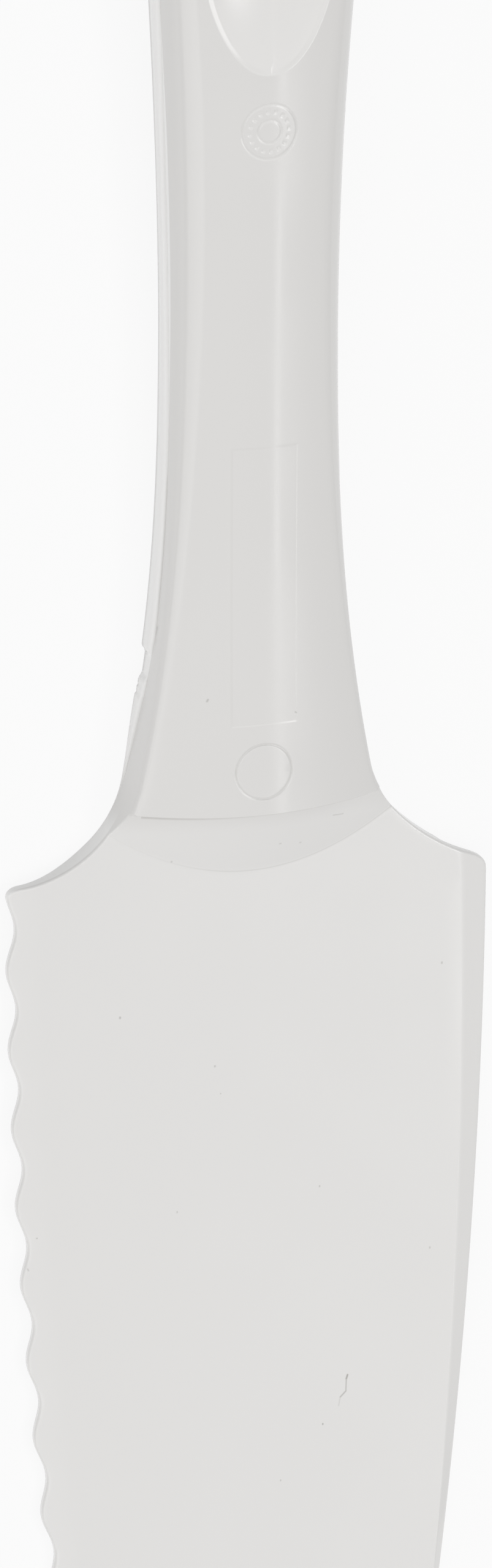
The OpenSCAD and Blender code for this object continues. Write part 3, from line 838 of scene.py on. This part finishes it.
class Nodes:
    """Short calls for a shader's nodes."""

    def __init__(self, tree):
        self.tree = tree

    def join(self, source, socket):
        """Links a socket, or sets its value."""
        if isinstance(source, bpy.types.NodeSocket):
            self.tree.links.new(source, socket)
        else:
            socket.default_value = source

    def add(self, kind, sources=None, **settings):
        """A new node with these settings, and these links or values at its inputs."""
        node = self.tree.nodes.new(kind)
        for name, value in settings.items():
            setattr(node, name, value)
        for name, source in (sources or {}).items():
            self.join(source, node.inputs[name])
        return node

    def math(self, operation, *values, clamp=False):
        """The result of a sum."""
        sources = dict(enumerate(values))
        return self.add("ShaderNodeMath", sources, operation=operation, use_clamp=clamp).outputs[0]

    def minus(self, a, b):
        return self.math("SUBTRACT", a, b)

    def times(self, a, b):
        return self.math("MULTIPLY", a, b)

    def most(self, a, b):
        return self.math("MAXIMUM", a, b)

    def vector(self, operation, *values):
        """The outputs of a sum of vectors."""
        return self.add("ShaderNodeVectorMath", dict(enumerate(values)), operation=operation).outputs

    def split(self, vector):
        """The X, Y and Z of a vector."""
        return self.add("ShaderNodeSeparateXYZ", {"Vector": vector}).outputs

    def smooth(self, value, low, high, start, end):
        """A smooth change from start to end while a value goes from low to high."""
        sources = {"Value": value, "From Min": low, "From Max": high, "To Min": start, "To Max": end}
        return self.add("ShaderNodeMapRange", sources, interpolation_type="SMOOTHSTEP").outputs["Result"]

    def band(self, value, width):
        """1 where a value is near zero, falling off smoothly to 0 at this width."""
        return self.smooth(self.math("ABSOLUTE", value), 0.0, width, 1.0, 0.0)

    def blend(self, share, colour, other):
        """One colour, giving way to the other by a share."""
        return self.add("ShaderNodeMix", {0: share, 6: colour, 7: other}, data_type="RGBA").outputs[2]


def new_group(name, *outputs):
    """A shader node group that turns a place on the drawing into these values, and its two ends."""
    group = bpy.data.node_groups.new(name, "ShaderNodeTree")
    group.interface.new_socket(name="Place", in_out="INPUT", socket_type="NodeSocketVector")
    for label in outputs:
        group.interface.new_socket(name=label, in_out="OUTPUT", socket_type="NodeSocketFloat")
    nodes = Nodes(group)
    return nodes, nodes.add("NodeGroupInput"), nodes.add("NodeGroupOutput")


def drawing_place(nodes):
    """The place on the drawing, in millimetres, of the point that is shaded."""
    place = nodes.add("ShaderNodeTexCoord").outputs["Object"]
    sources = {"Vector": place, "Location": SET_DOWN * MM, "Rotation": (LIE, 0, 0), "Scale": (MM, MM, MM)}
    return nodes.add("ShaderNodeMapping", sources, vector_type="TEXTURE").outputs["Vector"]


def moulded_grain_group():
    """Faint waves and fine grain of a moulded plastic surface."""
    nodes, start, end = new_group("moulded grain", "Height", "Tone")
    place = start.outputs["Place"]
    fine, waves = (
        nodes.add("ShaderNodeTexNoise", {"Vector": place, "Scale": scale, "Detail": detail}).outputs["Fac"]
        for scale, detail in ((1.6, 3.0), (0.06, 1.0))
    )
    nodes.join(nodes.math("MULTIPLY_ADD", waves, 6.0, fine), end.inputs["Height"])
    nodes.join(waves, end.inputs["Tone"])
    return nodes.tree


def painted_line_shade_group(drawing):
    """Mask of the painted shade along lines: the marks, the foot of the step and the slope's crease."""
    marks, neck = drawing.marks, drawing.neck
    nodes, start, end = new_group("painted line shade", "Line")
    x, y, z = nodes.split(start.outputs["Place"])

    def ring(at, radius):
        along = nodes.minus(y, at)
        squares = nodes.math("MULTIPLY_ADD", x, x, nodes.times(along, along))
        return nodes.minus(nodes.math("SQRT", squares), radius)

    def bowed(side, half, bow, middle=0.0):
        """Distance past a line that bows towards the tip."""
        share = nodes.math("DIVIDE", nodes.minus(x, middle), half)
        fall = nodes.times(nodes.minus(1.0, nodes.times(share, share)), bow)
        return nodes.minus(nodes.math("ADD", y, fall), side)

    across = nodes.math("ABSOLUTE", x)
    beside = nodes.minus(across, marks.label_width / 2)
    along = nodes.math("ABSOLUTE", nodes.minus(y, marks.label_at))
    label = nodes.most(beside, nodes.minus(along, marks.label_length / 2))
    on_face = nodes.math("GREATER_THAN", z, 2.0)
    # The painted shade at the step's foot and in the crease: each is darkest on one side and ends before
    # the walls or the rim
    foot = bowed(neck.step_end - neck.step_run - 0.3, neck.width / 2, neck.step_bow)
    between = nodes.math("LESS_THAN", across, neck.width / 2 - 0.3)
    below = nodes.times(nodes.math("LESS_THAN", z, neck.rise - 0.6), between)
    on_foot = nodes.times(nodes.smooth(x, -neck.width / 2, 2.0, 1.0, 0.35), below)
    middle = drawing.foot_middle + drawing.sideways(-neck.slope_middle)
    crease = bowed(-neck.slope_side, drawing.foot_half, neck.slope_middle - neck.slope_side, middle)
    on_top = nodes.math("GREATER_THAN", z, -0.3)
    on_crease = nodes.times(nodes.smooth(x, -12.0, -2.0, 0.1, 0.45), on_top)
    line = nodes.times(nodes.band(foot, 0.3), on_foot)
    line = nodes.most(line, nodes.times(nodes.band(crease, 0.16), on_crease))
    for off, dark in (
        (ring(marks.ring_at, marks.ring), 0.4),
        (label, 0.12),
        (ring(marks.round_at, marks.round), 0.2),
        (ring(marks.round_at, INNER_RING * marks.round), 0.15),
    ):
        share = nodes.times(nodes.band(off, marks.line), dark)
        line = nodes.most(line, nodes.times(share, on_face))
    nodes.join(line, end.inputs["Line"])
    return nodes.tree


def painted_glow_group(drawing, through):
    """Mask of the painted glow, a paler colour standing in for light coming through the plastic: the rim's
    bead, the blade's edges and, less, the blade.
    """
    handle, neck = drawing.handle, drawing.neck
    nodes, start, end = new_group("painted glow", "Painted glow")
    x, y, z = nodes.split(start.outputs["Place"])
    share = nodes.math("DIVIDE", nodes.minus(handle.reach, y), handle.reach - neck.begins)
    bend = nodes.minus(1.0, nodes.times(share, share))
    low = nodes.math("MULTIPLY_ADD", bend, handle.rim_rise, neck.rise - handle.depth)
    height = nodes.smooth(y, 0.0, BEAD_HIGH_AT, LOW_BEAD, handle.bead_height)
    above = nodes.minus(z, nodes.math("ADD", low, height))
    rim = nodes.times(nodes.smooth(above, -0.12, 0.06, 1.0, 0.0), nodes.smooth(y, 0.0, 6.0, 0.0, 1.0))
    # The painted glow reaches higher up the left shoulder's edge
    on_left = nodes.smooth(x, -1.0, 1.0, 0.55, 0.0)
    shoulder = nodes.times(on_left, nodes.smooth(y, -10.5, -9.0, 0.0, 1.0))
    blade = nodes.smooth(nodes.minus(z, shoulder), -1.2, -0.9, 1.0, through)
    blade = nodes.times(nodes.smooth(y, -3.0, 0.0, 1.0, 0.0), blade)
    nodes.join(nodes.most(rim, blade), end.inputs["Painted glow"])
    return nodes.tree


def specks_group():
    """Mask of the small dark specks and scratches that lie in the plastic."""
    nodes, start, end = new_group("specks", "Speck")
    flat = nodes.vector("MULTIPLY", start.outputs["Place"], (1.0, 1.0, 0.0))[0]
    mask = 0.0
    for (x, y), (to_x, to_y), width, dark in SPECKS:
        away = nodes.vector("SUBTRACT", flat, (x, y, 0.0))[0]
        run = Vector((to_x - x, to_y - y, 0.0))
        along = nodes.vector("DOT_PRODUCT", away, run / max(run.length_squared, 1e-6))["Value"]
        back = nodes.vector("MULTIPLY", run, nodes.math("ADD", along, 0.0, clamp=True))[0]
        off = nodes.vector("DISTANCE", away, back)["Value"]
        mask = nodes.most(mask, nodes.times(nodes.band(off, width), dark))
    above = nodes.math("GREATER_THAN", nodes.split(start.outputs["Place"])[2], -0.9)
    nodes.join(nodes.times(mask, above), end.inputs["Speck"])
    return nodes.tree


def white_plastic(finish, drawing):
    """Glossy white plastic with moulded grain, a painted glow on thin places, painted shade in the marks,
    at the step's foot and in the crease, and a few specks.
    """
    material = bpy.data.materials.new("white_plastic")
    material.use_nodes = True
    nodes = Nodes(material.node_tree)
    shader = material.node_tree.nodes["Principled BSDF"]
    place = drawing_place(nodes)
    painted_glow = painted_glow_group(drawing, finish.blade_glow)
    grain, marks, painted_glow, specks = (
        nodes.add("ShaderNodeGroup", {"Place": place}, node_tree=group).outputs
        for group in (moulded_grain_group(), painted_line_shade_group(drawing), painted_glow, specks_group())
    )
    # Painted glow: the rim's bead, the blade's edges and the blade take the paler colour, standing in for
    # light through them
    colour = nodes.blend(painted_glow["Painted glow"], (*finish.plastic, 1.0), (*finish.painted_glow, 1.0))
    shade_and_specks = nodes.most(nodes.times(marks["Line"], finish.shade_and_specks), specks["Speck"])
    # The painted shade and the specks are kept to where the surface faces up, so the hollow's ceiling stays
    # plain
    normal = nodes.split(nodes.add("ShaderNodeTexCoord").outputs["Normal"])
    shade_and_specks = nodes.times(shade_and_specks, nodes.math("GREATER_THAN", normal[2], 0.3))
    colour = nodes.blend(shade_and_specks, colour, (*finish.shade_and_speck, 1.0))
    bump = nodes.add("ShaderNodeBump", {
        "Height": nodes.times(grain["Height"], finish.grain), "Strength": 0.5, "Distance": 0.1 * MM,
    })
    for source, name in (
        (colour, "Base Color"),
        (nodes.smooth(grain["Tone"], 0.3, 0.7, finish.gloss, finish.dull), "Roughness"),
        (bump.outputs["Normal"], "Normal"),
        (1.49, "IOR"),
    ):
        nodes.join(source, shader.inputs[name])
    return material


class SPATULA_OT_stage(bpy.types.Operator):
    """Sets the pale table, the soft lights and the camera"""

    bl_idname = "spatula.stage"
    bl_label = "Table, lights and camera"

    def execute(self, context):
        stage = context.scene.spatula_stage
        self.table(context, stage)
        self.lights(context, stage)
        self.camera(context, stage)
        context.scene.view_settings.view_transform = "Standard"
        return {"FINISHED"}

    def table(self, context, stage):
        """A wide pale table that the camera sees as white."""
        bpy.ops.object.select_all(action="DESELECT")
        bpy.ops.mesh.primitive_plane_add(size=stage.table, location=(0.0, 0.0, 0.0))
        table = context.active_object
        table.name = "table"
        material = bpy.data.materials.new("table")
        material.use_nodes = True
        nodes = Nodes(material.node_tree)
        material.node_tree.nodes.remove(material.node_tree.nodes["Principled BSDF"])
        cloth = nodes.add("ShaderNodeBsdfDiffuse", {"Color": (*stage.table_colour, 1.0)})
        white = nodes.add("ShaderNodeEmission", {"Color": (1.0, 1.0, 1.0, 1.0), "Strength": 1.0})
        rays = nodes.add("ShaderNodeLightPath").outputs
        seen = nodes.most(rays["Is Glossy Ray"], rays["Is Transmission Ray"])
        share = nodes.times(nodes.most(rays["Is Camera Ray"], seen), TABLE_WHITE)
        blend = nodes.add("ShaderNodeMixShader", {0: share, 1: cloth.outputs[0], 2: white.outputs[0]})
        nodes.join(blend.outputs[0], material.node_tree.nodes["Material Output"].inputs["Surface"])
        table.data.materials.append(material)

    def lights(self, context, stage):
        """An even white surround, a soft lamp above, two on the left and two smaller ones on the right."""
        world = bpy.data.worlds.new("surround")
        context.scene.world = world
        world.use_nodes = True
        nodes = Nodes(world.node_tree)
        back = world.node_tree.nodes["Background"]
        rays = nodes.add("ShaderNodeLightPath").outputs
        seen = nodes.most(rays["Is Camera Ray"], rays["Is Transmission Ray"])
        level = nodes.math("MULTIPLY_ADD", seen, 1.0 - stage.ambient, stage.ambient)
        nodes.join((1.0, 1.0, 1.0, 1.0), back.inputs["Color"])
        nodes.join(level, back.inputs["Strength"])
        for name, place, sizes, aimed in LAMPS:
            bpy.ops.object.light_add(type="AREA", location=place)
            lamp = context.active_object
            lamp.name = lamp.data.name = name
            lamp.data.shape = "RECTANGLE"
            lamp.data.size, lamp.data.size_y = sizes
            lamp.data.energy = getattr(stage, name.replace(" ", "_")) * math.pi * sizes[0] * sizes[1]
            if aimed:
                lamp.rotation_euler = (-lamp.location).to_track_quat("-Z", "Y").to_euler()

    def camera(self, context, stage):
        """A long lens that looks down from the handle's end and from the left."""
        up = (Vector((0.0, 1.0, 0.0)) - CAMERA_BACK.y * CAMERA_BACK).normalized()
        turn = Matrix.Rotation(LIE, 3, "X")
        back, up = turn @ CAMERA_BACK, turn @ up
        axes = Matrix((up.cross(back), up, back)).transposed().to_4x4()
        bpy.ops.object.camera_add()
        camera = context.active_object
        camera.matrix_world = Matrix.Translation(set_down(CAMERA_SPOT) + stage.distance * back) @ axes
        camera.data.lens = stage.lens
        camera.data.sensor_width = SENSOR
        context.scene.camera = camera


class SPATULA_PT_sidebar(bpy.types.Panel):
    """Sizes and steps of the cake spatula"""

    bl_label = "Cake spatula"
    bl_idname = "SPATULA_PT_sidebar"
    bl_space_type = "VIEW_3D"
    bl_region_type = "UI"
    bl_category = "Spatula"

    def draw(self, context):
        layout = self.layout
        for name, sizes in GROUPS.items():
            box = layout.box()
            box.label(text=sizes.__doc__)
            for size in sizes.__annotations__:
                box.prop(getattr(context.scene, name), size)
        for step in STEPS:
            layout.operator(step.bl_idname)


GROUPS = {
    "spatula_blade": BladeSizes,
    "spatula_neck": NeckSizes,
    "spatula_handle": HandleSizes,
    "spatula_marks": MarkSizes,
    "spatula_finish": Finish,
    "spatula_stage": StageSizes,
}
STEPS = (SPATULA_OT_moulding, SPATULA_OT_stage)


def register():
    """Makes the sizes, the steps and the panel known."""
    for name, group in GROUPS.items():
        bpy.utils.register_class(group)
        setattr(bpy.types.Scene, name, PointerProperty(type=group))
    for step in STEPS:
        bpy.utils.register_class(step)
    bpy.utils.register_class(SPATULA_PT_sidebar)


def unregister():
    """Takes them away again."""
    bpy.utils.unregister_class(SPATULA_PT_sidebar)
    for step in reversed(STEPS):
        bpy.utils.unregister_class(step)
    for name, group in reversed(GROUPS.items()):
        delattr(bpy.types.Scene, name)
        bpy.utils.unregister_class(group)


def main():
    """Builds the spatula and its stage."""
    register()
    bpy.ops.spatula.moulding()
    bpy.ops.spatula.stage()


if __name__ == "__main__":
    main()
